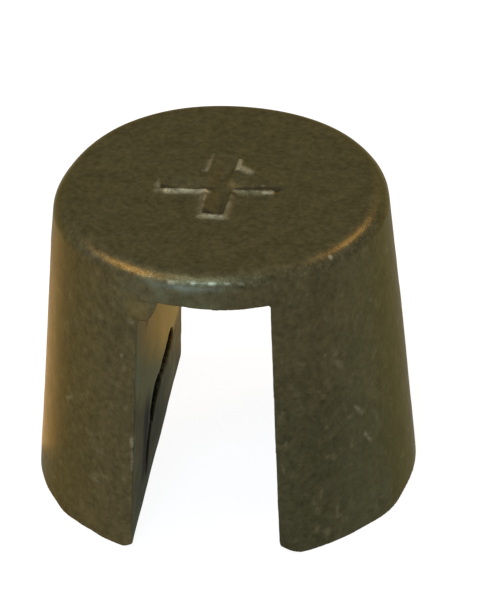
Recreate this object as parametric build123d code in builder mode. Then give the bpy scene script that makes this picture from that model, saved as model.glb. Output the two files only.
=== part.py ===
"""Slotted battery post adapter, a single lead alloy casting.

A tapered round post with a closed flat top. A wide slot runs straight through it from front to
back, so two solid legs straddle an upright terminal tab and a round cable clamp grips the outside.

Frame: +Z up, origin on the post's axis in the plane that the two feet stand on. The slot runs
along Y, with -Y as the front, and the legs stand at -X (left) and +X (right). Millimetres.
"""

import os
from math import cos, radians, sin, sqrt, tan

from build123d import *

# Tapered outside
foot_diameter = 19.5  # across the two feet
height = 16.6  # feet to flat top
taper = 6.9  # the post narrows by 1 mm on diameter in this many mm of height
crown_edge = 1.0  # rounding round the top

# Slot, one side at a time because the two legs are not quite alike
roof = 1.7  # metal between the slot and the flat top
slot_height = height - roof
left_wall = 3.77  # from the axis to the left leg at the feet
right_wall = 3.91  # from the axis to the right leg at the feet
left_draft = 2.3  # degrees from upright, the slot narrows upwards
right_draft = 1.2
lead_in = 0.12  # rounding of each leg's inner foot edge
mouth_edge = 0.08  # rounding between the legs' inner faces and the outside, and round the feet

# Foot corners, worn round on the way onto the terminal: radius of each corner's bow
left_front_wear = 0.7
right_front_wear = 1.4
back_wear = 0.4

# Web of flash left in the front left corner of the slot's roof
web_width = 1.15  # along the roof
web_drop = 1.35  # down the leg
web_bulge = 0.35  # how far its free edge bows out of the straight line
web_thickness = 0.6
web_setback = 0.08  # its face lies this far inside the tapered outside

# Plus punched into the top, inside the lip of metal that the punch pushed up around it
mark_span = 6.4  # between lip crests, along X
mark_length = 6.6  # along Y
mark_bar = 1.45  # width of each bar
mark_reach = 0.33  # how much further the long bar runs to the back than to the front
mark_depth = 0.3  # below the flat top
mark_draft = 25  # degrees, slope of the recess's walls
mark_corner = 0.25  # rounding of the mark's corners
mark_centre = (-0.08, 0.27)  # the bars cross a little off the axis
lip_height = 0.18
lip_width = 0.4  # from the crest down to the flat top
lip_land = 0.06  # width of the crest itself

# Lap, where two streams of metal met and did not fuse, across the inner face of the left leg
lap_width = 0.9
lap_depth = 0.35
lap_route = ((5.6, 3.8), (2.2, 3.95), (-1.0, 4.1), (-2.75, 3.2), (-3.7, 1.45))  # Y, up the face


def outside_radius(level):
    """Radius of the tapered outside at a height above the feet."""
    return (foot_diameter - level / taper) / 2


def left_leg_at(level):
    """Distance from the axis to the left leg's inner face at a height above the feet."""
    return left_wall - level * tan(radians(left_draft))


def right_leg_at(level):
    """Distance from the axis to the right leg's inner face at a height above the feet."""
    return right_wall - level * tan(radians(right_draft))


def corner_waste(side, end, wear):
    """What is worn off the foot corner at one side (-1 left) and one end (-1 front) of the slot."""
    corner_x = side * (left_wall if side < 0 else right_wall)
    corner_y = end * sqrt(outside_radius(0) ** 2 - corner_x**2)
    along_inner_face = Vector(0, end, 0)
    along_outside = Vector(-corner_y, corner_x, 0).normalized() * side * end
    outwards = (along_inner_face + along_outside).normalized()
    upright = Plane(
        origin=(corner_x, corner_y, 0), x_dir=outwards, z_dir=outwards.cross(Vector(0, 0, 1))
    )
    with BuildPart() as waste:
        with BuildSketch(upright):
            with Locations((-wear, -wear)):
                Rectangle(2 * wear, 2 * wear, align=(Align.MIN, Align.MIN))
            with Locations((-wear, wear)):
                Circle(wear, mode=Mode.SUBTRACT)
        extrude(amount=2 * wear, both=True)
    return waste.part


def mark_outline(level, growth):
    """Sketch of the plus mark at a height, grown outwards on every side."""
    with BuildSketch(Plane((*mark_centre, level))) as outline:
        Rectangle(mark_span + 2 * growth, mark_bar + 2 * growth)
        with Locations((0, mark_reach)):
            Rectangle(mark_bar + 2 * growth, mark_length + 2 * growth)
        fillet(outline.vertices(), radius=mark_corner)
    return outline.sketch


# The web is a patch of a thin tapered ring, cut to its outline as seen from the front
web_foot = slot_height - web_drop
web_tip = left_leg_at(slot_height) - web_width
with BuildPart() as web:
    ring_foot = web_foot - web_bulge
    ring_top = slot_height + web_thickness
    with BuildSketch(Plane.XZ):
        with BuildLine():
            Polyline(
                (outside_radius(ring_foot) - web_setback, ring_foot),
                (outside_radius(ring_top) - web_setback, ring_top),
                (outside_radius(ring_top) - web_thickness, ring_top),
                (outside_radius(ring_foot) - web_thickness, ring_foot),
                close=True,
            )
        make_face()
    revolve(axis=Axis.Z)
    with BuildSketch(Plane.XZ):
        with BuildLine():
            free_edge = ThreePointArc(
                (-left_leg_at(web_foot), web_foot),
                (
                    web_bulge - (left_leg_at(web_foot) + web_tip) / 2,
                    slot_height - (web_drop + web_bulge) / 2,
                ),
                (-web_tip, slot_height),
            )
            Polyline(
                free_edge @ 1,
                (-web_tip, ring_top),
                (-left_leg_at(web_foot) - web_thickness, ring_top),
                (-left_leg_at(web_foot) - web_thickness, web_foot),
                free_edge @ 0,
            )
        make_face()
    extrude(amount=foot_diameter, mode=Mode.INTERSECT)


with BuildPart() as adapter:
    # Tapered body
    with BuildSketch(Plane.XZ):
        with BuildLine():
            Polyline(
                (0, 0),
                (outside_radius(0), 0),
                (outside_radius(height), height),
                (0, height),
                close=True,
            )
        make_face()
    revolve(axis=Axis.Z)
    fillet(adapter.edges().group_by(Axis.Z)[-1], radius=crown_edge)

    # Slot, cut right through from front to back
    with BuildSketch(Plane.XZ):
        with BuildLine():
            Polyline(
                (-left_leg_at(0), 0),
                (-left_leg_at(slot_height), slot_height),
                (right_leg_at(slot_height), slot_height),
                (right_leg_at(0), 0),
                close=True,
            )
        make_face()
    extrude(amount=foot_diameter, both=True, mode=Mode.SUBTRACT)

    # Rounded inner foot edges, where the legs first meet the tab
    foot_edges = adapter.edges().filter_by(Axis.Y).group_by(Axis.Z)[0]
    fillet(foot_edges, radius=lead_in)

    # Softened edges from the slot to the tapered outside, running on round the feet
    fillet(adapter.edges().filter_by(GeomType.HYPERBOLA), radius=mouth_edge)

    # Worn foot corners
    for end, left_wear, right_wear in (
        (-1, left_front_wear, right_front_wear),
        (1, back_wear, back_wear),
    ):
        add(corner_waste(-1, end, left_wear), mode=Mode.SUBTRACT)
        add(corner_waste(1, end, right_wear), mode=Mode.SUBTRACT)

    add(web.part)

    # Raised lip, then the punched recess inside it
    loft([mark_outline(height, lip_width), mark_outline(height + lip_height, lip_land)], ruled=True)
    extrude(
        mark_outline(height + lip_height, 0),
        amount=-(lip_height + mark_depth),
        taper=mark_draft,
        mode=Mode.SUBTRACT,
    )

    # Lap, a narrow open crease that follows its route across the leaning inner face
    leg_lean = radians(left_draft)
    left_inner_face = Plane(
        origin=(-left_leg_at(0), 0, 0), x_dir=(0, 1, 0), z_dir=(cos(leg_lean), 0, -sin(leg_lean))
    )
    with BuildSketch(left_inner_face):
        with BuildLine():
            Spline(*lap_route)
        trace(line_width=lap_width)
    extrude(amount=-lap_depth, mode=Mode.SUBTRACT)

adapter.part.label = "post_adapter"

os.makedirs("parts", exist_ok=True)
export_step(adapter.part, "parts/post_adapter.step")
print("post_adapter", round(adapter.part.volume, 1), "mm3")
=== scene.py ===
"""Slotted battery post adapter: the worn lead casting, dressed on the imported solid.

The casting is shaped as a foundry would make it. A tapered blank is spun, the slot's core is taken
out of it, the flash web is left in the slot's corner, and the skin is drawn fine enough for the
punched mark, the lap and the knocks of long use.
"""

import math
from functools import partial
from types import SimpleNamespace

import bmesh
import bpy
import numpy as np
from bpy.props import FloatProperty, FloatVectorProperty, PointerProperty
from bpy.types import Operator, Panel, PropertyGroup
from mathutils import Matrix, Vector, noise


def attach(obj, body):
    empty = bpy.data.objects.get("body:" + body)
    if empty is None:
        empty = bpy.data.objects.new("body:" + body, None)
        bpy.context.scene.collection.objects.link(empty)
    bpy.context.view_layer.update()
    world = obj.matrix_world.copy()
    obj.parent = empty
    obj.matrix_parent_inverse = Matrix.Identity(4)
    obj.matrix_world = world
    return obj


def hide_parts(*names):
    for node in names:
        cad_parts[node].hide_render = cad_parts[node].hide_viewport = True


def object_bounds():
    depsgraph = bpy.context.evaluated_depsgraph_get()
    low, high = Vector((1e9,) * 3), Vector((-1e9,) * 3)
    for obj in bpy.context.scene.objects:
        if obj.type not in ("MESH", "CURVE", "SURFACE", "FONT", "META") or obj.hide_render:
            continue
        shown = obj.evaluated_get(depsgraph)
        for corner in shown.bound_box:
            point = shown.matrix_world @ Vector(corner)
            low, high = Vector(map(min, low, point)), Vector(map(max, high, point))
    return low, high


bl_info = {
    "name": "Slotted battery post adapter",
    "version": (1, 0, 0),
    "blender": (4, 5, 0),
    "location": "3D View > Sidebar > Post adapter",
    "description": "Models a cast lead battery post adapter and sets it on a studio floor",
    "category": "Object",
}

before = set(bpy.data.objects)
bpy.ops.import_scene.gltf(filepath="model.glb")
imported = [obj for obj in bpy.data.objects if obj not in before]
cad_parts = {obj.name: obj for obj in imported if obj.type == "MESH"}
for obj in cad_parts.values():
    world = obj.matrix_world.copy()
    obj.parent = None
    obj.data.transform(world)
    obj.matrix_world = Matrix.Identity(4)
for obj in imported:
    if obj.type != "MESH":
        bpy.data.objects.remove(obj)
CAD_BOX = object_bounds()
NODE = "post_adapter"

MM = 0.001  # the casting is modelled in millimetres and turned to metres once it is whole


# Values that a user can change ---------------------------------------------------------------


def linear(hex_colour):
    """Turns an sRGB hex colour to the linear values that Blender's sockets take."""
    channels = (int(hex_colour[i : i + 2], 16) / 255 for i in (1, 3, 5))
    return tuple(c / 12.92 if c <= 0.04045 else ((c + 0.055) / 1.055) ** 2.4 for c in channels)


def length(name, description, millimetres):
    """A length, given here in millimetres."""
    return FloatProperty(
        name=name,
        description=description,
        default=millimetres * MM,
        precision=5,
        subtype="DISTANCE",
        unit="LENGTH",
    )


def angle(name, description, degrees):
    """An angle, given here in degrees."""
    return FloatProperty(
        name=name, description=description, default=math.radians(degrees), subtype="ANGLE"
    )


def number(name, description, value):
    """A plain number."""
    return FloatProperty(name=name, description=description, default=value)


def colour(name, description, hex_colour):
    """A colour, given here as sRGB hex."""
    return FloatVectorProperty(
        name=name,
        description=description,
        default=linear(hex_colour),
        size=3,
        min=0,
        max=1,
        subtype="COLOR",
    )


class CastingSizes(PropertyGroup):
    """Form of the casting."""

    foot_diameter: length("Foot diameter", "Across the two feet", 19.5)
    height: length("Height", "From the feet to the flat top", 16.6)
    taper: number("Taper", "Height over which the post narrows by one on diameter", 6.9)
    crown_edge: length("Crown edge", "Rounding round the top", 1.0)
    foot_edge: length("Foot edge", "Rounding round the outside of the feet", 0.05)
    roof: length("Roof", "Metal between the slot and the flat top", 1.7)
    left_wall: length("Left wall", "From the axis to the left leg at the feet", 3.77)
    right_wall: length("Right wall", "From the axis to the right leg at the feet", 3.91)
    left_draft: angle("Left draft", "Lean of the left leg's inner face", 2.3)
    right_draft: angle("Right draft", "Lean of the right leg's inner face", 1.2)
    lead_in: length("Lead-in", "Rounding of each leg's inner foot edge", 0.12)
    left_wear: length("Left wear", "Bow worn on the left leg's front foot corner", 0.7)
    right_wear: length("Right wear", "Bow worn on the right leg's front foot corner", 1.4)
    back_wear: length("Back wear", "Bow worn on each back foot corner", 0.4)
    web_thickness: length("Web thickness", "Thickness of the flash web", 0.6)
    web_setback: length("Web setback", "Depth of the web's face inside the outside", 0.04)


class MarkSizes(PropertyGroup):
    """Plus mark punched into the top. Its bars cross a little off the axis."""

    centre_x: length("Centre X", "Middle of the mark, from the post's axis", -0.08)
    centre_y: length("Centre Y", "Middle of the mark, from the post's axis", 0.27)
    depth: length("Depth", "Below the flat top, where the punch went in deepest", 0.3)
    near_wall: length("Near wall", "Width of the walls at the front, seen from above", 0.16)
    right_wall: length("Right wall", "Width of the long bar's right wall", 0.45)
    far_wall: length("Far wall", "Width of the gently sloping walls behind and at the left", 0.95)
    lip_height: length("Lip height", "Metal that the punch pushed up in front of it", 0.17)
    lip_width: length("Lip width", "From the lip's crest down to the flat top", 0.34)


class LapSizes(PropertyGroup):
    """Lap on the left leg's inner face, where two streams of metal did not fuse."""

    depth: length("Depth", "Into the leg", 0.4)
    opening: length("Opening", "Height of the open fold", 0.95)
    shoulder: length("Shoulder", "Height of the rolled edge above the fold", 0.25)
    ledge: length("Ledge", "Height of the steep side below the fold", 0.2)


class SurfaceValues(PropertyGroup):
    """Finish of the aged lead, with the colours of its painted shade, reflections and highlights.
    """

    film: colour("Film", "Oxide film over most of the lead", "#4B442C")
    # Darker, greener film used as painted shade on the right leg, low down, on the flat top and
    # below the lap
    film_shaded: colour("Cool film", "Greener film towards the right leg", "#3A3927")
    # Painted reflections on the slot's faces: cool grey towards the front and low down, warm tan
    # high up and towards the back
    cool_reflection_colour: colour("Grey film", "Film on the slot's faces towards the front", "#727B62")
    warm_reflection_colour: colour("Tan film", "Film on the slot's faces high up and towards the back", "#AF8D3A")
    bloom: colour("Bloom", "Pale sulphate flecks", "#8E8765")
    # Also the colour of painted glints on the crown and painted highlights on the mark's lip
    bare_lead_and_glint: colour("Bare lead", "Metal rubbed clean on edges and scuffs", "#9C9880")
    # Near black: dirt in folds and corners, and painted shade in the lap's fold, the slot and by
    # the mark
    grime_and_shade: colour("Grime", "Dirt in folds and corners", "#0D0F08")
    edge_on: colour("Edge on", "Tint of the film where it is seen edge on", "#C8BCA0")
    lumps: length("Lumps", "How far the cast skin strays from the true form", 0.03)
    grain: length("Grain", "Height of the sand grain on the cast skin", 0.02)


class StageValues(PropertyGroup):
    """Floor and camera."""

    floor: colour("Floor", "Plain pale floor", "#EFEFEF")
    target_x: length("Target X", "Point that the camera looks at", 1.0783)
    target_y: length("Target Y", "Point that the camera looks at", 0.1674)
    target_z: length("Target Z", "Point that the camera looks at", 9.6738)
    distance: length("Distance", "From the camera to its target", 499.069)
    azimuth: angle("Azimuth", "Camera's angle round the post, from the front", 8.8258)
    elevation: angle("Elevation", "Camera's angle above the floor", 33.6738)
    roll: angle("Roll", "Camera's lean", -1.5974)
    lens: number("Lens", "Focal length in millimetres", 581.475)


def in_millimetres(group):
    """A group's values, with its lengths turned to millimetres."""
    values = {}
    for prop in group.bl_rna.properties:
        if prop.identifier not in ("rna_type", "name"):
            value = getattr(group, prop.identifier)
            is_length = getattr(prop, "unit", "NONE") == "LENGTH"
            values[prop.identifier] = value / MM if is_length else value
    return SimpleNamespace(**values)


# The casting's solids -------------------------------------------------------------------------


def outside_radius(sizes, level):
    """Radius of the tapered outside at a height above the feet."""
    return sizes.foot_diameter / 2 - level / sizes.taper / 2


def arc(centre, radius, start, end, steps):
    """Points along an arc in the plane of X and Z, from one angle to another."""
    return [
        (centre[0] + radius * math.cos(a), centre[1] + radius * math.sin(a))
        for a in np.linspace(start, end, steps + 1)
    ]


def solid_object(name, shape):
    """Turns a bmesh to an object, with its faces pointing outwards."""
    bmesh.ops.remove_doubles(shape, verts=shape.verts, dist=1e-4)
    bmesh.ops.recalc_face_normals(shape, faces=shape.faces)
    mesh = bpy.data.meshes.new(name)
    shape.to_mesh(mesh)
    shape.free()
    solid = bpy.data.objects.new(name, mesh)
    bpy.context.scene.collection.objects.link(solid)
    return solid


def spun_blank(sizes):
    """The tapered post before its slot, spun from half of its outline."""
    foot_radius = sizes.foot_diameter / 2
    crown_level = sizes.height - sizes.crown_edge
    lean = math.atan(1 / (2 * sizes.taper))
    foot_inset = sizes.foot_edge * (1 + math.sin(lean)) / math.cos(lean)
    crown_inset = (sizes.crown_edge + crown_level * math.sin(lean)) / math.cos(lean)
    foot_centre = (foot_radius - foot_inset, sizes.foot_edge)
    crown_centre = (foot_radius - crown_inset, crown_level)
    outline = [(0, 0)]
    outline += arc(foot_centre, sizes.foot_edge, -math.pi / 2, lean, steps=5)
    outline += arc(crown_centre, sizes.crown_edge, lean, math.pi / 2, steps=12)
    outline += [(0, sizes.height)]
    shape = bmesh.new()
    verts = [shape.verts.new((x, 0, z)) for x, z in outline]
    edges = [shape.edges.new(pair) for pair in zip(verts, verts[1:])]
    bmesh.ops.spin(
        shape,
        geom=verts + edges,
        cent=(0, 0, 0),
        axis=(0, 0, 1),
        angle=2 * math.pi,
        steps=360,
        use_merge=True,
    )
    return solid_object("blank", shape)


def prism(name, outline, front, back):
    """A solid of one outline in X and Z, drawn out along Y."""
    shape = bmesh.new()
    face = shape.faces.new([shape.verts.new((x, front, z)) for x, z in outline])
    drawn = bmesh.ops.extrude_face_region(shape, geom=[face])
    far = [v for v in drawn["geom"] if isinstance(v, bmesh.types.BMVert)]
    bmesh.ops.translate(shape, vec=(0, back - front, 0), verts=far)
    return solid_object(name, shape)


# Roof of the slot from left to right: share of the way across, and how far it hangs down
ROOF_WAVE = ((0.35, -0.03), (0.5, 0.04), (0.65, 0.08), (0.8, 0.13), (0.9, 0.08), (0.97, 0.1))


def slot_core(sizes):
    """The core that leaves the slot, narrowing upwards, with a rounded lead-in at each foot."""
    past_outside = 12
    below_feet = -1
    radius = sizes.lead_in
    left, right = sizes.left_draft, sizes.right_draft
    top = sizes.height - sizes.roof
    left_top = -(sizes.left_wall - top * math.tan(left))
    right_top = sizes.right_wall - top * math.tan(right)
    left_inset = radius * (1 - math.sin(left)) / math.cos(left)
    right_inset = radius * (1 - math.sin(right)) / math.cos(right)
    left_centre = (-sizes.left_wall - left_inset, radius)
    right_centre = (sizes.right_wall + right_inset, radius)
    outline = [(left_centre[0], below_feet)]
    outline += arc(left_centre, radius, -math.pi / 2, -left, steps=4)
    outline += [(left_top, top)]
    outline += [(left_top + (right_top - left_top) * share, top - sag) for share, sag in ROOF_WAVE]
    outline += [(right_top, top - ROOF_WAVE[-1][1])]
    outline += arc(right_centre, radius, math.pi + right, 1.5 * math.pi, steps=4)
    outline += [(right_centre[0], below_feet)]
    return prism("core", outline, -past_outside, past_outside)


def corner_waste(sizes, side, end, wear):
    """What is worn off the foot corner at one side (-1 left) and one end (-1 front) of the slot."""
    wall = sizes.left_wall if side < 0 else sizes.right_wall
    corner = Vector((side * wall, end * math.sqrt((sizes.foot_diameter / 2) ** 2 - wall**2), 0))
    along_outside = Vector((-corner.y, corner.x, 0)).normalized() * side * end
    outwards = along_outside + Vector((0, end, 0))
    outline = [(-wear, -wear), (wear, -wear), (wear, wear)]
    outline += arc((-wear, wear), wear, 0, -math.pi / 2, steps=12)
    waste = prism("corner_waste", outline, -2 * wear, 2 * wear)
    turn = Matrix.Rotation(math.atan2(outwards.y, outwards.x), 4, "Z")
    waste.data.transform(Matrix.Translation(corner) @ turn)
    return waste


# Ragged free edge of the flash web: X and height above the feet
WEB_EDGE = (
    (-3.24, 13.5),
    (-2.97, 13.64),
    (-2.7, 13.68),
    (-2.5, 13.9),
    (-2.32, 14.25),
    (-2.09, 14.9),
)


def flash_web(sizes):
    """Thin web of metal across the front left corner of the slot's roof, rooted in both sides."""
    root_x, root_z = -4.0, 15.4
    foot_z, tip_x = WEB_EDGE[0][1], WEB_EDGE[-1][0]
    web = prism("web", [(root_x, foot_z), *WEB_EDGE, (tip_x, root_z), (root_x, root_z)], 0, 1)
    for vert in web.data.vertices:
        radius = outside_radius(sizes, vert.co.z) - sizes.web_setback
        depth = vert.co.y * sizes.web_thickness
        vert.co.y = depth - math.sqrt(radius**2 - vert.co.x**2)
    return web


def cast_skin(sizes, voxel):
    """One even skin over the blank, less the core and with the web, its edges softly rounded."""
    blank = spun_blank(sizes)
    tools = [(slot_core(sizes), "DIFFERENCE"), (flash_web(sizes), "UNION")]
    for side, end, wear in (
        (-1, -1, sizes.left_wear),
        (1, -1, sizes.right_wear),
        (-1, 1, sizes.back_wear),
        (1, 1, sizes.back_wear),
    ):
        tools.append((corner_waste(sizes, side, end, wear), "DIFFERENCE"))
    for tool, operation in tools:
        cut = blank.modifiers.new(operation, "BOOLEAN")
        cut.object = tool
        cut.operation = operation
        cut.solver = "EXACT"
    skin = blank.modifiers.new("skin", "REMESH")
    skin.mode = "VOXEL"
    skin.voxel_size = voxel
    soften = blank.modifiers.new("soften", "SMOOTH")
    soften.factor = 0.5
    soften.iterations = 3
    mesh = evaluated_copy(blank)
    for used in (blank, *(tool for tool, _ in tools)):
        bpy.data.objects.remove(used)
    return mesh


def evaluated_copy(piece):
    """The mesh of a piece with its modifiers applied."""
    return bpy.data.meshes.new_from_object(
        piece.evaluated_get(bpy.context.evaluated_depsgraph_get())
    )


# Shaping the skin -----------------------------------------------------------------------------


def read_points(mesh, field="co"):
    """A mesh's vertex positions or normals as rows of X, Y and Z."""
    values = np.empty(len(mesh.vertices) * 3, np.float32)
    mesh.vertices.foreach_get(field, values)
    return values.reshape(-1, 3).astype(float)


def write_points(mesh, points):
    """Moves a mesh's vertices."""
    mesh.vertices.foreach_set("co", points.astype(np.float32).ravel())
    mesh.update()


def lumps(points, size, seed):
    """Soft noise from -1 to 1, with bumps of about this size in millimetres."""
    shift = Vector((seed * 17.3, seed * 5.9, seed * 11.7))
    return np.array([noise.noise(Vector(p) / size + shift) for p in points])


def ease(value):
    """Turns 0 to 1 into a smooth step with level ends."""
    t = np.clip(value, 0, 1)
    return t * t * (3 - 2 * t)


def off_stretch(u, v, start, end):
    """How far along a straight stretch each point is, 0 to 1, and its offset from there."""
    run_u, run_v = end[0] - start[0], end[1] - start[1]
    squared = max(run_u**2 + run_v**2, 1e-9)
    t = np.clip(((u - start[0]) * run_u + (v - start[1]) * run_v) / squared, 0, 1)
    return t, u - start[0] - t * run_u, v - start[1] - t * run_v


# Corners of the plus from its middle, X and Y, anticlockwise. It was punched by hand, so its bars
# are a little skewed and no two ends are alike.
MARK_OUTLINE = (
    (-3.12, 0.55),
    (-3.06, -0.8),
    (-0.6, -0.67),
    (-0.58, -2.93),
    (0.63, -2.95),
    (0.76, -0.6),
    (3.05, -0.43),
    (3.46, -0.06),
    (3.44, 0.14),
    (0.7, 0.66),
    (0.67, 3.3),
    (-0.7, 3.35),
    (-0.84, 0.8),
)
NEAR_EDGE_Y, NEAR_EDGE_RISE = -0.63, 0.065  # front edge of the side bars, rising along X
LONG_BAR_FOOT_Y, LONG_BAR_HALF_WIDTH = -2.94, 0.7


def mark_distance(x, y, mark):
    """Distance from the mark's outline, below zero inside it, and how far its walls have fallen.

    The punch leaned forwards and to the right, so the near and right walls are steep and the far
    and left ones slope gently.
    """
    nearest = np.full(len(x), np.inf)
    inside = np.zeros(len(x), bool)
    steep, gentle = np.ones(len(x)), np.ones(len(x))
    for (x0, y0), (x1, y1) in zip(MARK_OUTLINE, MARK_OUTLINE[1:] + MARK_OUTLINE[:1]):
        run_x, run_y = x1 - x0, y1 - y0
        _, off_x, off_y = off_stretch(x, y, (x0, y0), (x1, y1))
        gap = np.hypot(off_x, off_y)
        nearest = np.minimum(nearest, gap)
        inside ^= ((y0 > y) != (y1 > y)) & (x < x0 + run_x * (y - y0) / run_y)
        if run_x > abs(run_y):
            steep *= ease(gap / mark.near_wall)
        elif run_y > abs(run_x) and x0 > 0:
            steep *= ease(gap / mark.right_wall)
        else:
            gentle = np.minimum(gentle, ease(gap / mark.far_wall))
    return np.where(inside, -nearest, nearest), steep * gentle * inside


def mark_recess(x, y, fallen, mark):
    """Depth of the recess, which fades out towards the back of each bar."""
    side_bars = 0.9 * np.clip((0.8 - y) / 1.4, 0, 1) ** 0.7
    long_bar = ease((3.5 - y) / 3)
    in_side_bars = ease((np.abs(x) - 0.4) / 1.1)
    return mark.depth * fallen * (long_bar + in_side_bars * (side_bars - long_bar))


# Places where the punch pushed up more metal: X, Y, reach and height
LIP_SWELLS = (
    (0.78, 1.75, 0.85, 0.1),
    (-0.85, -0.5, 0.4, 0.08),
    (0.85, -0.45, 0.4, 0.06),
    (2.5, -0.4, 0.4, 0.04),
)


def lip_form(x, y, lean_x, lean_y):
    """Share of a full lip round the mark: it is fullest in front of the side bars.

    Lean is how the distance from the mark grows along X and Y, so it tells which way an edge faces.
    """
    beside_long_bar = np.abs(x) < 1.5
    low_flank = np.where(x > 0, 0.7, 0.6) * ease((-0.6 - y) / 0.4)
    high_flank = np.where(x > 0, 0.6, 0.35) * ease((y - 1.1) / 0.5) * ease((3.2 - y) / 1.2)
    left_end = 0.4 * ease((0.2 - y) / 0.5) * (x < 0)
    flank = np.where(beside_long_bar, np.maximum(low_flank, high_flank), left_end)
    front = np.clip(-lean_y, 0, 1) * ease((3.05 - x) / 0.3)
    front *= 0.4 + 0.6 * ease((x + 3.1) / 0.6)
    return np.minimum(front + flank * lean_x, 1)


def punch_mark(points, normals, sizes, mark):
    """Sinks the plus into the flat top and raises the lip in front of it.

    Returns how bright the lip is painted, part wear and part painted highlight, and the painted
    shadow along the recess's near wall, at each point.
    """
    flat_radius = outside_radius(sizes, sizes.height) - sizes.crown_edge
    on_top = (points[:, 2] > sizes.height - 0.4) & (normals[:, 2] > 0.7)
    chosen = np.nonzero(on_top & (np.hypot(points[:, 0], points[:, 1]) < flat_radius))[0]
    flat = points[chosen] * (1, 1, 0)
    x = flat[:, 0] - mark.centre_x + 0.04 * lumps(flat, 0.9, seed=1)
    y = flat[:, 1] - mark.centre_y + 0.04 * lumps(flat, 0.9, seed=7)
    distance, fallen = mark_distance(x, y, mark)
    inside = ease(-distance / mark.near_wall)

    # The lip, higher in a few places, and the recess
    step = 0.02
    lean_x = np.abs(mark_distance(x + step, y, mark)[0] - distance) / step
    lean_y = (mark_distance(x, y + step, mark)[0] - distance) / step
    form = lip_form(x, y, lean_x, lean_y) * (1 + 0.25 * lumps(flat, 0.6, seed=2))
    raised = form * mark.lip_height * np.clip(1 - distance / mark.lip_width, 0, 1)
    for swell_x, swell_y, reach, height in LIP_SWELLS:
        offset = np.hypot(flat[:, 0] - swell_x, flat[:, 1] - swell_y)
        raised = np.maximum(raised, height * ease(1 - offset / reach))
    sunk = mark_recess(x, y, fallen, mark) * (1 + 0.12 * lumps(flat, 0.45, seed=3))
    points[chosen, 2] += raised * (1 - inside) - sunk

    # The lip is painted bright, part wear and part painted highlight, less so on the right and at
    # the front. Painted shadow lies along the near wall
    lip_bright, darkened = np.zeros(len(points)), np.zeros(len(points))
    crest = np.clip(1.15 - distance / mark.lip_width, 0, 1)
    less_bright = 0.8 * ease((x - 0.2) / 0.6) * (y > -1.5) + 0.5 * (y < -1.5)
    lip_bright[chosen] = np.clip(form**1.5, 0, 1) * crest * (1 - inside) * (1 - less_bright)
    in_long_bar = np.abs(x) < LONG_BAR_HALF_WIDTH
    near_edge = np.where(in_long_bar, LONG_BAR_FOOT_Y, NEAR_EDGE_Y + NEAR_EDGE_RISE * x)
    shadow_width = 0.72 + 0.08 * lumps(flat, 0.5, seed=8)
    darkened[chosen] = inside * ease((shadow_width - (y - near_edge)) / 0.2)
    return lip_bright, darkened


# Lap across the left leg's inner face: Y, height, and how wide and deep it is there
LAP_ROUTE = (
    (5.15, 3.85, 0.5),
    (4.7, 3.87, 1.1),
    (4.0, 3.87, 1.0),
    (2.17, 3.95, 0.75),
    (0.37, 4.03, 0.8),
    (-1.06, 4.12, 1.2),
    (-2.09, 3.7, 1.3),
    (-2.4, 3.45, 0.5),
    (-2.76, 3.21, 0.5),
    (-3.41, 2.4, 0.8),
    (-3.7, 1.46, 0.3),
)


def fold_lap(points, normals, sizes, lap):
    """Folds the lap into the left leg's inner face: a rolled shoulder over a sloping ledge.

    Returns how far each point lies in the fold.
    """
    face_x = -(sizes.left_wall - points[:, 2] * math.tan(sizes.left_draft))
    on_face = (np.abs(points[:, 0] - face_x) < 0.25) & (normals[:, 0] > 0.6)
    chosen = np.nonzero(on_face)[0]
    y, z = points[chosen, 1], points[chosen, 2]
    nearest = np.full(len(chosen), np.inf)
    above, share = np.zeros(len(chosen)), np.zeros(len(chosen))
    for (y0, z0, share0), (y1, z1, share1) in zip(LAP_ROUTE, LAP_ROUTE[1:]):
        t, off_y, off_z = off_stretch(y, z, (y0, z0), (y1, z1))
        distance = np.hypot(off_y, off_z)
        side = np.sign(off_y * (z1 - z0) - off_z * (y1 - y0))
        closer = distance < nearest
        nearest = np.where(closer, distance, nearest)
        above = np.where(closer, side * distance, above)
        share = np.where(closer, share0 + t * (share1 - share0), share)
    above = above + 0.07 * lumps(points[chosen] * (0, 1, 1), 0.6, seed=4)
    half = lap.opening * share / 2
    shoulder = ease(1 - (above - half) / lap.shoulder)
    ledge = ease(1 + (above + half) / lap.ledge)
    fold = np.minimum(share * 1.4, 1) * shoulder * ledge
    points[chosen] -= normals[chosen] * (lap.depth * fold)[:, None]
    folded = np.zeros(len(points))
    folded[chosen] = fold
    return folded


# Knocks: X, Y, Z, reach and depth. A burr has a depth below zero.
KNOCKS = (
    (8.9, -3.95, 0.0, 2.3, -0.14),
    (9.0, 1.4, 8.5, 12.0, -0.06),
    (-7.7, -6.0, 0.0, 1.3, -0.06),
    (-6.1, -7.6, 0.0, 0.9, 0.04),
    (-7.8, 2.1, 16.2, 4.5, 0.13),
    (0.8, 7.9, 16.4, 5.5, 0.08),
    (-3.4, -8.9, 6.0, 0.6, 0.05),
    (-3.5, -8.9, 3.9, 0.5, 0.05),
    (3.8, -8.9, 4.6, 0.4, 0.04),
    (0.0, -7.8, 16.5, 0.5, 0.05),
)


def weather_skin(points, normals, sizes, finish):
    """Makes the cast skin a little uneven, and knocks dents and burrs into its edges."""
    uneven = 0.7 * lumps(points, 3.2, seed=5) + 0.3 * lumps(points, 0.9, seed=6)
    flat_top = ease((points[:, 2] - sizes.height + 0.6) / 0.4)
    sink = finish.lumps * uneven * (1 - 0.8 * flat_top)
    for x, y, z, reach, depth in KNOCKS:
        offset = np.linalg.norm(points - (x, y, z), axis=1)
        sink += depth * ease(1 - offset / reach)
    points -= normals * sink[:, None]
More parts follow.
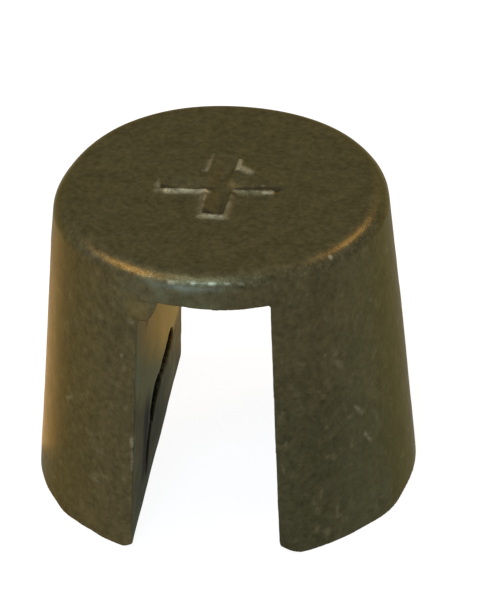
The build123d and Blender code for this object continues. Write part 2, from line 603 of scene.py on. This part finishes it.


# Scuffs and painted glints on the outside. Azimuth from the front in degrees and height at both
# ends of the stroke,
# reach, and strength: above zero where the film is rubbed thin, below zero where it is thicker.
SIDE_SCUFFS_AND_GLINTS = (
    (-30.5, 14.1, -30.5, 14.1, 0.22, 0.6),
    (-35.8, 13.1, -35.8, 13.1, 0.3, 0.35),
    (-49.1, 11.7, -49.1, 11.7, 0.5, 0.4),
    (-25.0, 13.4, -23.1, 13.5, 0.2, 0.9),
    (-27.0, 11.3, -27.0, 11.3, 0.25, 0.8),
    (-26.2, 10.6, -26.2, 10.6, 0.22, 0.55),
    (-31.3, 9.6, -28.9, 9.5, 0.28, 0.4),
    (-54.2, 6.8, -49.5, 7.2, 0.12, 0.9),
    (-49.0, 7.5, -46.8, 7.7, 0.14, -0.7),
    (-33.3, 7.4, -33.3, 7.4, 0.2, 0.5),
    (-25.0, 8.4, -25.0, 8.4, 0.22, 0.5),
    (-22.9, 6.6, -22.9, 6.2, 0.22, 1.0),
    (-22.8, 5.8, -22.6, 4.8, 0.17, 0.6),
    (-36.7, 4.9, -33.7, 5.1, 0.16, 0.4),
    (-39.2, 3.3, -35.3, 3.2, 0.16, 0.6),
    (-26.4, 4.2, -25.3, 4.0, 0.18, 0.35),
    (58.4, 12.2, 58.4, 12.2, 0.2, 0.7),
    (54.3, 9.2, 54.3, 9.2, 0.2, 0.6),
    (62.1, 8.3, 62.1, 8.3, 0.18, 0.5),
    (54.1, 7.3, 56.9, 6.7, 0.16, 0.9),
    (64.0, 6.0, 64.3, 5.7, 0.2, 0.4),
    (57.4, 5.4, 59.9, 4.8, 0.16, 0.9),
    (27.7, 11.4, 27.7, 11.4, 0.18, 0.5),
    (26.4, 8.2, 26.4, 8.2, 0.2, 0.8),
    (33.6, 8.6, 33.6, 8.6, 0.2, 0.5),
    (43.4, 11.1, 43.4, 11.1, 0.2, 0.5),
    (26.0, 5.4, 26.2, 5.0, 0.18, 0.6),
    (38.2, 5.3, 38.2, 5.3, 0.16, 0.5),
    (62.3, 2.6, 62.3, 2.6, 0.35, 0.3),
    (35.1, 0.5, 35.1, 0.5, 0.2, 0.5),
    (41.3, 7.4, 41.3, 7.4, 0.45, 0.25),
    (36.7, 2.2, 36.7, 2.2, 0.5, 0.25),
    (35.7, 13.3, 45.9, 12.3, 0.14, -0.6),
    (39.4, 11.6, 43.5, 11.3, 0.14, -0.6),
    (31.9, 9.7, 31.9, 9.7, 0.2, -0.6),
    (56.6, 8.3, 56.6, 8.3, 0.16, -0.6),
    # Strokes on the crown are partly worn spots and partly painted glints of the highlight
    (-10.0, 16.2, -8.2, 16.2, 0.14, 0.6),
    (-1.8, 16.25, -1.4, 16.25, 0.14, 0.7),
    (4.3, 16.25, 6.1, 16.25, 0.12, 0.6),
    (9.9, 16.25, 11.0, 16.25, 0.1, 0.5),
    (14.4, 16.2, 15.8, 16.2, 0.12, 0.4),
    (49.6, 16.3, 50.2, 16.3, 0.14, 0.6),
    (-50.0, 16.2, -34.0, 16.25, 0.4, 0.12),
    (50.0, 16.25, 60.0, 16.25, 0.3, 0.1),
)

# The same on the flat top, in X and Y
TOP_SCUFFS_AND_GLINTS = (
    # Strokes round the mark's lip are partly wear and partly painted highlight
    (0.66, 2.6, 0.66, 1.75, 0.2, 0.75),
    (0.75, 1.9, 1.25, 1.6, 0.42, 0.8),
    (-0.93, 1.45, -0.79, 3.1, 0.12, 0.25),
    (-1.15, 1.5, -0.95, 1.6, 0.2, 0.3),
    (-3.28, -0.25, -3.25, 0.45, 0.16, 0.3),
    (2.3, -0.36, 2.72, -0.33, 0.14, 0.6),
    (2.13, 0.43, 2.13, 0.43, 0.13, 0.9),
    (3.14, 0.59, 3.14, 0.59, 0.16, 0.8),
    (-0.7, -0.42, -0.62, -0.35, 0.3, 0.8),
)

MM_PER_DEGREE = math.radians(9.0)  # round the outside, whose radius is about 9 mm


def strokes(u, v, table):
    """Strength of a table's strokes at each point of a flat pattern."""
    total = np.zeros(len(u))
    for u0, v0, u1, v1, reach, strength in table:
        _, off_u, off_v = off_stretch(u, v, (u0, v0), (u1, v1))
        total += strength * ease(1 - np.hypot(off_u, off_v) / reach)
    return total


def scuffs_and_glints(points, sizes):
    """Strength of the scuffs and painted glints at each point of the outside and the flat top."""
    x, y, z = points.T
    around = np.degrees(np.arctan2(x, -y)) * MM_PER_DEGREE
    unrolled = np.array(SIDE_SCUFFS_AND_GLINTS) * (MM_PER_DEGREE, 1, MM_PER_DEGREE, 1, 1, 1)
    on_outside = np.hypot(x, y) > outside_radius(sizes, z) - sizes.crown_edge
    on_crown = z > sizes.height - sizes.crown_edge
    # Stronger on the crown, where the strokes are partly painted glints
    marks = np.where(on_crown, 1.3, 0.55) * strokes(around, z, unrolled) * on_outside
    marks += strokes(x, y, TOP_SCUFFS_AND_GLINTS) * (z > sizes.height - 0.5)
    return np.clip(marks, -1, 1)


# Darker patches on the left leg's inner face: Y and height at both ends of the patch, reach and
# strength
LEFT_FACE_DARK_PATCHES = (
    (-3.9, 4.7, -4.6, 2.2, 2.1, 0.95),
    (-4.6, 11.2, -4.1, 11.0, 0.6, 0.4),
    (-8.1, 13.5, -8.1, 13.2, 0.6, 0.5),
)


def slot_tone(points, normals, sizes):
    """Painted reflections, painted shade below the lap, darkening and mattness of the slot's faces
    and surround.
    """
    x, y, z = points.T
    inner = (np.abs(normals[:, 0]) > 0.8) & (np.abs(x) < sizes.right_wall + 0.2)

    # Painted reflections: cool grey but for a darker patch low at the front, warm tan over it high
    # up and towards the back, and both of them weaker below the lap
    level = z + 0.65 * y + 0.5 * lumps(points * (1, 0.35, 1.2), 1.2, seed=9)
    warm_reflection = ease((level - 4.6) / 3.4)
    warm_reflection *= 0.2 + 0.8 * ease((y + 9) / 7)
    warm_reflection *= 1 - 0.35 * ease((y - 1) / 4)
    cool_reflection = np.maximum(ease((level - 1.6) / 2.6), 0.3 + 0.7 * ease((1.6 - z) / 1.6))
    cool_reflection *= 1 + 0.35 * lumps(points * (1, 0.6, 1), 0.6, seed=12)
    # Painted shade below the lap: a darker film and less of the painted reflections
    lap_y, lap_z = np.array(LAP_ROUTE)[::-1, :2].T
    below_lap = ease((np.interp(y, lap_y, lap_z) - z) / 0.6) * (x < 0)
    warm_reflection *= 1 - 0.3 * below_lap
    cool_reflection *= 1 - 0.25 * below_lap

    # Painted shade in a line inside the slot's front edges and low down, and darker patches on the
    # left face
    mouth_line = 0.45 * ease(1 - (outside_radius(sizes, z) - np.hypot(x, y)) / 0.9) * (y < 0)
    dark_patches = strokes(y, z, LEFT_FACE_DARK_PATCHES) * (x < 0)
    low = np.maximum(0.45 * ease((4.2 - z) / 0.8), 0.22 * ease((3.8 - level) / 1.6) * (x < 0))
    low *= 1 + 0.4 * lumps(points, 0.8, seed=10)
    darkened = np.maximum.reduce((mouth_line, dark_patches, low)) * inner

    # Traces of both painted reflections outside the slot: over its roof, on the web and on the
    # right side
    over_slot = ease(1.4 - np.abs(x + 1.2) / 2.8) * ease((z - 13.4) / 1.8)
    over_slot *= (y < -7) & (z < sizes.height - 0.3)
    over_slot *= 1 + 1.5 * lumps(points, 0.7, seed=11)
    on_web = ease(1.1 - np.hypot(x + 3.1, z - 14.2)) * (y < -7.5)
    right_side = ease((x - 5.7) / 2.8) * (z < sizes.height - 0.8) * (1 - inner)
    right_side *= 1 + 0.5 * lumps(points, 0.7, seed=13)

    cool_reflection = np.maximum.reduce((cool_reflection * inner, 0.14 * over_slot, 0.11 * right_side))
    warm_reflection = np.maximum(warm_reflection * inner, 0.09 * on_web)
    return cool_reflection, warm_reflection, below_lap * inner, darkened, inner * (1 - 0.6 * warm_reflection)


def roughness_of_form(mesh, points, normals):
    """How far each point stands proud of its neighbours, in millimetres, smoothed a little."""
    ends = np.empty(len(mesh.edges) * 2, np.int32)
    mesh.edges.foreach_get("vertices", ends)
    first, second = ends.reshape(-1, 2).T
    count = np.bincount(first, minlength=len(points)) + np.bincount(second, minlength=len(points))

    def neighbours(values):
        total = np.bincount(first, values[second], len(points))
        total += np.bincount(second, values[first], len(points))
        return total / np.maximum(count, 1)

    middle = np.stack([neighbours(points[:, axis]) for axis in range(3)], axis=1)
    proud = ((points - middle) * normals).sum(axis=1)
    for _ in range(4):
        proud = 0.5 * proud + 0.5 * neighbours(proud)
    return proud


FINE_VOXEL, COARSE_VOXEL = 0.07, 0.14  # millimetres between the skin's points
MOST_TRIANGLES = 190_000  # of the finished casting


def cast_adapter(sizes, mark, lap, finish):
    """The whole casting as one mesh, in metres, with its wear and its painted light and shade
    stored on its points.
    """
    voxel = FINE_VOXEL
    mesh = cast_skin(sizes, voxel)
    points, normals = read_points(mesh), read_points(mesh, "normal")
    weather_skin(points, normals, sizes, finish)
    lip_wear_and_highlight, mark_shadow = punch_mark(points, normals, sizes, mark)
    folded = fold_lap(points, normals, sizes, lap)
    low, high = (np.array(corner) / MM for corner in CAD_BOX)
    points = np.clip(points, low, high)
    write_points(mesh, points)

    # Edges and the crown are rubbed; hollows and the lap's fold hold dirt and painted shade; the
    # slot and the mark's near wall take painted shade; the mark's steep walls are matt
    shaped_normals = read_points(mesh, "normal")
    lean, _, tilt = shaped_normals.T
    below_top = sizes.height - points[:, 2]
    proud = roughness_of_form(mesh, points, shaped_normals) / voxel**2
    edges = ease((proud - 0.12) / 1.2) * (0.25 + 0.75 * ease(points[:, 2] - 14.5))
    crown = ease((tilt - 0.15) / 0.3) * ease((0.98 - tilt) / 0.15) * (below_top < 1.2)
    cool_reflection, warm_reflection, lap_shade, slot_darkening, matt = slot_tone(points, normals, sizes)
    hollows = ease((-proud - 0.35) / 1.6)
    darkened = np.maximum.reduce((hollows, ease(folded / 0.3), slot_darkening, 0.65 * mark_shadow))
    in_mark = (tilt > 0.3) & (np.hypot(points[:, 0], points[:, 1]) < 5)
    wear = {
        "rubbed": np.maximum(edges, 0.8 * crown),
        "dirt_and_shade": darkened,
        "scuffed_and_glinting": np.clip(scuffs_and_glints(points, sizes) + lip_wear_and_highlight, -1, 1),
        "cool_reflection": cool_reflection,
        "warm_reflection": warm_reflection,
        "lap_shade": lap_shade,
        "matt": np.maximum(matt, in_mark * ease(np.abs(lean) / 0.35)),
        "side": 1 - ease((0.9 - below_top) / 0.7),
    }
    for name, values in wear.items():
        field = mesh.attributes.new(name, "FLOAT", "POINT")
        field.data.foreach_set("value", values.astype(np.float32))

    piece = bpy.data.objects.new("post_adapter_casting", mesh)
    bpy.context.scene.collection.objects.link(piece)
    thin = piece.modifiers.new("thin", "DECIMATE")
    thin.ratio = min(1, MOST_TRIANGLES / (2 * len(mesh.polygons)))
    piece.data = evaluated_copy(piece)
    piece.data.name = "post_adapter_casting"
    piece.modifiers.clear()
    piece.data.transform(Matrix.Scale(MM, 4))
    piece.data.shade_smooth()
    return piece


# Finish ---------------------------------------------------------------------------------------


MATH, RANGE, MIX = "ShaderNodeMath", "ShaderNodeMapRange", "ShaderNodeMix"


def add_node(tree, kind, inputs=(), output=0, **settings):
    """Adds a node, sets it up, fills or links its inputs, and returns one output if it has any.

    Inputs are given in their order on the node, or by name.
    """
    made = tree.nodes.new(kind)
    for key, value in settings.items():
        setattr(made, key, value)
    filled = inputs if isinstance(inputs, dict) else dict(enumerate(inputs))
    for socket, value in filled.items():
        if isinstance(value, bpy.types.NodeSocket):
            tree.links.new(value, made.inputs[socket])
        else:
            made.inputs[socket].default_value = value
    return made.outputs[output] if made.outputs else None


def empty_tree(owner):
    """Cleared node tree of a material or a world."""
    owner.use_nodes = True
    owner.node_tree.nodes.clear()
    return owner.node_tree


def per_feature(millimetres):
    """Texture scale that gives features of about this size on Object coordinates."""
    return 1 / (millimetres * MM)


# Noise on the lead: size of its features in millimetres, detail and roughness
LEAD_PATTERNS = {
    "sand": (0.16, 3, 0.6),
    "ragged": (0.2, 3, 0.6),
    "mottle": (0.32, 4, 0.65),
    "blotches": (0.6, 3, 0.6),
    "flecks": (0.8, 4, 0.6),
    "shades": (1.1, 3, 0.6),
    "patches": (3.5, 2, 0.5),
}


def aged_cast_lead(finish):
    """Cast lead alloy under a thin brown oxide film: a dull metal, blotched and softly shining.

    The film gives the olive colour and the satin sheen, and turns warm where it is seen edge on.
    Sulphate flecks give faint pale grains on the sides, scuffs and rubbed edges show brighter and
    smoother metal with painted glints and highlights, painted shade darkens the film to the right,
    low down and on the top, the slot's faces take painted grey and tan reflections, and folds hold
    dark dirt and painted shade with no shine.
    """
    material = bpy.data.materials.new("aged_cast_lead")
    node = partial(add_node, empty_tree(material))
    place = node("ShaderNodeTexCoord", output="Object")
    across, upwards = (node("ShaderNodeSeparateXYZ", (place,), axis) for axis in "XZ")
    side, rubbed, dirt_and_shade, scuffed_and_glinting, cool_reflection, warm_reflection, lap_shade, matt = (
        node("ShaderNodeAttribute", output="Fac", attribute_name=name)
        for name in ("side", "rubbed", "dirt_and_shade", "scuffed_and_glinting", "cool_reflection", "warm_reflection", "lap_shade", "matt")
    )
    pattern = {
        name: node(
            "ShaderNodeTexNoise",
            {"Vector": place, "Scale": per_feature(size), "Detail": detail, "Roughness": rough},
        )
        for name, (size, detail, rough) in LEAD_PATTERNS.items()
    }

    # Film: brown at the left; painted shade makes it darker and greener towards the right leg,
    # above all low down, with random blotches and patches
    shaded_share = node(RANGE, (across, -5.5 * MM, 4.5 * MM, 0.05, 0.85))
    low = node(RANGE, (upwards, 13 * MM, 3 * MM, -0.3, 0.2))
    right = node(RANGE, (across, 0, 4 * MM))
    low_right = node(MATH, (low, right), operation="MULTIPLY")
    blotches = node(RANGE, (pattern["blotches"], 0.35, 0.65, -0.18, 0.18))
    patches = node(RANGE, (pattern["patches"], 0.35, 0.65, -0.12, 0.12))
    for change in (blotches, low_right, patches):
        shaded_share = node(MATH, (shaded_share, change), operation="ADD")
    # The flat top takes a fixed share of the painted shade
    shaded_share = node(RANGE, (side, 0, 1, 0.7, shaded_share))
    # Darker film also in the painted shade below the lap
    shaded_share = node(MATH, (shaded_share, lap_shade), operation="MAXIMUM")

    # A fine and a broad mottle make the film lighter and darker
    fine_mottle = node(RANGE, (pattern["mottle"], 0.3, 0.7, -0.28, 0.28))
    broad_mottle = node(RANGE, (pattern["shades"], 0.35, 0.65, -0.1, 0.1))
    shade = node(MATH, (fine_mottle, broad_mottle), operation="ADD")
    shade = node(MATH, (shade, 1.0), operation="ADD")

    # Pale flecks, mostly on the sides, and the painted grey and tan reflections on the slot's faces
    flecks = node(RANGE, (pattern["flecks"], 0.58, 0.72))
    fleck_strength = node(RANGE, (side, 0, 1, 0.03, 0.14))
    flecks = node(MATH, (flecks, fleck_strength), operation="MULTIPLY")
    cool_reflection_share = node(RANGE, (cool_reflection, 0, 1, 0, 0.85))
    warm_reflection_share = node(RANGE, (warm_reflection, 0, 1, 0, 0.85))

    # Bare metal in ragged patches where the film is scuffed or rubbed, with painted glints and
    # highlights, and dirt and painted shade over all of it
    ragged = node(RANGE, (pattern["ragged"], 0.35, 0.6, 0.45, 1.0))
    scuff_and_glint = node(RANGE, (scuffed_and_glinting, 0.05, 0.9))
    scuff_and_glint = node(MATH, (scuff_and_glint, ragged), operation="MULTIPLY")
    rub = node(MATH, (rubbed, ragged), operation="MULTIPLY")
    bare_scuff_and_glint = node(RANGE, (scuff_and_glint, 0, 1, 0, 0.6))
    bare_edge = node(RANGE, (rub, 0.75, 1, 0, 0.3))
    bared_and_glinting = node(MATH, (bare_scuff_and_glint, bare_edge), operation="MAXIMUM")
    thick_film = node(RANGE, (scuffed_and_glinting, 0, -1, 0, 0.6))
    # Dirt and painted shade, and thicker film where the scuff strength is below zero
    darkened = node(MATH, (dirt_and_shade, thick_film), operation="MAXIMUM")

    # The layers, from the film outwards
    films = {"Factor": shaded_share, "A": (*finish.film, 1), "B": (*finish.film_shaded, 1)}
    film = node(MIX, films, "Result", data_type="RGBA")
    skin = node("ShaderNodeVectorMath", {0: film, "Scale": shade}, operation="SCALE")
    for share, tint in (
        (flecks, finish.bloom),
        # Painted grey and tan reflections
        (cool_reflection_share, finish.cool_reflection_colour),
        (warm_reflection_share, finish.warm_reflection_colour),
        (bared_and_glinting, finish.bare_lead_and_glint),
        (darkened, finish.grime_and_shade),
    ):
        layer = {"Factor": share, "A": skin, "B": (*tint, 1)}
        skin = node(MIX, layer, "Result", data_type="RGBA")

    # Satin sheen, smoother where it is rubbed and rougher where it is matt, over the sand grain
    rough = node(RANGE, (pattern["mottle"], 0.3, 0.7, 0.4, 0.5))
    rougher = node(RANGE, (matt, 0, 1, 0, 0.22))
    rough = node(MATH, (rough, rougher), operation="ADD")
    polished = node(MATH, (scuff_and_glint, rubbed), operation="MAXIMUM")
    smoother = node(RANGE, (polished, 0, 0.8, 0, 0.1))
    rough = node(MATH, (rough, smoother), operation="SUBTRACT")
    sand = node(MATH, (pattern["sand"], 0.5), operation="MULTIPLY")
    height = node(MATH, (sand, pattern["mottle"]), operation="ADD")
    strength = node(RANGE, (scuff_and_glint, 0, 1, 0.5, 0.2))
    relief = {"Strength": strength, "Distance": finish.grain * MM, "Height": height}
    sheen = node(
        "ShaderNodeBsdfPrincipled",
        {
            "Base Color": skin,
            "Metallic": node(RANGE, (darkened, 0, 1, 0.85, 0)),
            "Roughness": node(RANGE, (darkened, 0, 1, rough, 1)),
            "Specular IOR Level": 0.25,
            "Specular Tint": (*finish.edge_on, 1),
            "Normal": node("ShaderNodeBump", relief),
        },
    )
    node("ShaderNodeOutputMaterial", {"Surface": sheen})
    return material


def seen_ray(tree, strength):
    """This strength for rays that show the background, straight or in a reflection, else 0."""
    seen = 0
    for kind in ("Is Camera Ray", "Is Glossy Ray", "Is Transmission Ray"):
        ray = add_node(tree, "ShaderNodeLightPath", output=kind)
        seen = add_node(tree, MATH, (seen, ray), operation="MAXIMUM")
    return add_node(tree, MATH, (seen, strength), operation="MULTIPLY")


def studio_card(stage):
    """Matt white card: shows as the white background, and still takes the shadow."""
    material = bpy.data.materials.new("studio_card")
    tree = empty_tree(material)
    card = add_node(tree, "ShaderNodeBsdfDiffuse", {"Color": (*stage.floor, 1)})
    white = add_node(tree, "ShaderNodeEmission", {"Color": (1, 1, 1, 1), "Strength": 1.1})
    both = add_node(tree, "ShaderNodeMixShader", (seen_ray(tree, 0.85), card, white))
    add_node(tree, "ShaderNodeOutputMaterial", {"Surface": both})
    return material


# Stage ----------------------------------------------------------------------------------------

# Lamps: name, azimuth and elevation in degrees, distance and side in metres, watts, colour
LAMPS = (
    ("key_lamp", -8, 55, 0.6, 0.14, 1.25, "#B6DAFF"),
    ("top_lamp", -35, 76, 0.6, 0.2, 0.8, "#E8F2FF"),
    ("front_lamp", -14, 14, 0.6, 0.26, 1.3, "#94BAFF"),
    ("left_lamp", -71, 49, 0.6, 0.2, 2.25, "#FFCC92"),
    ("right_lamp", 128, 44, 0.6, 0.14, 1.25, "#FFC584"),
)


def direction(azimuth, elevation):
    """Unit vector from the post out to a point at this azimuth from the front and elevation."""
    return Vector(
        (
            math.sin(azimuth) * math.cos(elevation),
            -math.cos(azimuth) * math.cos(elevation),
            math.sin(elevation),
        )
    )


def area_lamp(name, shape, size, watts, hex_colour):
    """An area lamp that the camera doesn't see."""
    light = bpy.data.lights.new(name, "AREA")
    light.shape = shape
    light.size = size
    light.energy = watts
    light.color = linear(hex_colour)
    lamp = bpy.data.objects.new(name, light)
    lamp.visible_camera = False
    bpy.context.scene.collection.objects.link(lamp)
    return lamp


def place_lamps():
    """Soft square lamps that face the middle of the post."""
    middle = Vector((0, 0, 0.008))
    for name, azimuth, elevation, distance, side, watts, hex_colour in LAMPS:
        lamp = area_lamp(name, "SQUARE", side, watts, hex_colour)
        outwards = direction(math.radians(azimuth), math.radians(elevation))
        lamp.location = middle + outwards * distance
        lamp.rotation_euler = outwards.to_track_quat("Z", "Y").to_euler()


def place_card():
    """A small warm card of light, low behind the left side, that brightens its far edge."""
    long_side, short_side = 24 * MM, 8 * MM
    watts_per_m2 = 7.0
    watts = watts_per_m2 * long_side * short_side
    card = area_lamp("warm_card", "RECTANGLE", long_side, watts, "#FFCB8C")
    card.data.size_y = short_side
    card.location = (-17.3 * MM, 8.9 * MM, 0.5 * MM)
    card.rotation_euler = (math.pi, 0, math.radians(134))


def place_camera(stage):
    """A long lens at the angle that shows the top and into the slot."""
    back = direction(stage.azimuth, stage.elevation)
    level_right = Vector((math.cos(stage.azimuth), math.sin(stage.azimuth), 0))
    level_up = back.cross(level_right)
    right = level_right * math.cos(stage.roll) + level_up * math.sin(stage.roll)
    up = back.cross(right)
    target = Vector((stage.target_x, stage.target_y, stage.target_z))
    optics = bpy.data.cameras.new("camera")
    optics.lens = stage.lens
    camera = bpy.data.objects.new("camera", optics)
    turn = Matrix((right, up, back)).transposed().to_4x4()
    camera.matrix_world = Matrix.Translation(target + back * stage.distance) @ turn
    bpy.context.scene.collection.objects.link(camera)
    bpy.context.scene.camera = camera


def light_world():
    """Even surroundings: white where they are seen, and dimmer as a light on the post."""
    world = bpy.data.worlds.new("studio")
    bpy.context.scene.world = world
    tree = empty_tree(world)
    as_light = 0.45
    strength = add_node(tree, MATH, (seen_ray(tree, 1 - as_light), as_light), operation="ADD")
    sky = add_node(tree, "ShaderNodeBackground", {"Color": (1, 1, 1, 1), "Strength": strength})
    add_node(tree, "ShaderNodeOutputWorld", {"Surface": sky})


# Operators and panel --------------------------------------------------------------------------


class ADAPTER_OT_cast(Operator):
    """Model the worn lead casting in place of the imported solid"""

    bl_idname = "adapter.cast"
    bl_label = "Cast adapter"

    def execute(self, context):
        scene = context.scene
        finish = scene.adapter_surface
        piece = cast_adapter(
            in_millimetres(scene.adapter_casting),
            in_millimetres(scene.adapter_mark),
            in_millimetres(scene.adapter_lap),
            in_millimetres(finish),
        )
        piece.data.materials.append(aged_cast_lead(in_millimetres(finish)))
        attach(piece, "root")
        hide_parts(NODE)
        return {"FINISHED"}


class ADAPTER_OT_stage(Operator):
    """Lay the floor, hang the lamps and place the camera"""

    bl_idname = "adapter.stage"
    bl_label = "Set stage"

    def execute(self, context):
        values = context.scene.adapter_stage
        shape = bmesh.new()
        bmesh.ops.create_grid(shape, x_segments=1, y_segments=1, size=2)
        floor = solid_object("studio_floor", shape)
        floor.data.materials.append(studio_card(values))
        place_lamps()
        place_card()
        place_camera(values)
        light_world()
        context.scene.view_settings.view_transform = "Standard"
        return {"FINISHED"}


class ADAPTER_PT_panel(Panel):
    """Sizes, finish and stage of the post adapter"""

    bl_idname = "ADAPTER_PT_panel"
    bl_label = "Post adapter"
    bl_space_type = "VIEW_3D"
    bl_region_type = "UI"
    bl_category = "Post adapter"

    def draw(self, context):
        layout = self.layout
        for title, name in GROUPS:
            box = layout.box()
            box.label(text=title)
            group = getattr(context.scene, name)
            for prop in group.bl_rna.properties:
                if prop.identifier not in ("rna_type", "name"):
                    box.prop(group, prop.identifier)
        layout.operator(ADAPTER_OT_cast.bl_idname)
        layout.operator(ADAPTER_OT_stage.bl_idname)


GROUPS = (
    ("Casting", "adapter_casting"),
    ("Mark", "adapter_mark"),
    ("Lap", "adapter_lap"),
    ("Surface", "adapter_surface"),
    ("Stage", "adapter_stage"),
)
GROUP_CLASSES = (CastingSizes, MarkSizes, LapSizes, SurfaceValues, StageValues)
CLASSES = (*GROUP_CLASSES, ADAPTER_OT_cast, ADAPTER_OT_stage, ADAPTER_PT_panel)


def register():
    for cls in CLASSES:
        bpy.utils.register_class(cls)
    for (_, name), cls in zip(GROUPS, GROUP_CLASSES):
        setattr(bpy.types.Scene, name, PointerProperty(type=cls))


def unregister():
    for _, name in GROUPS:
        delattr(bpy.types.Scene, name)
    for cls in reversed(CLASSES):
        bpy.utils.unregister_class(cls)


def main():
    """Builds the whole scene."""
    register()
    bpy.ops.adapter.cast()
    bpy.ops.adapter.stage()


if __name__ == "__main__":
    main()
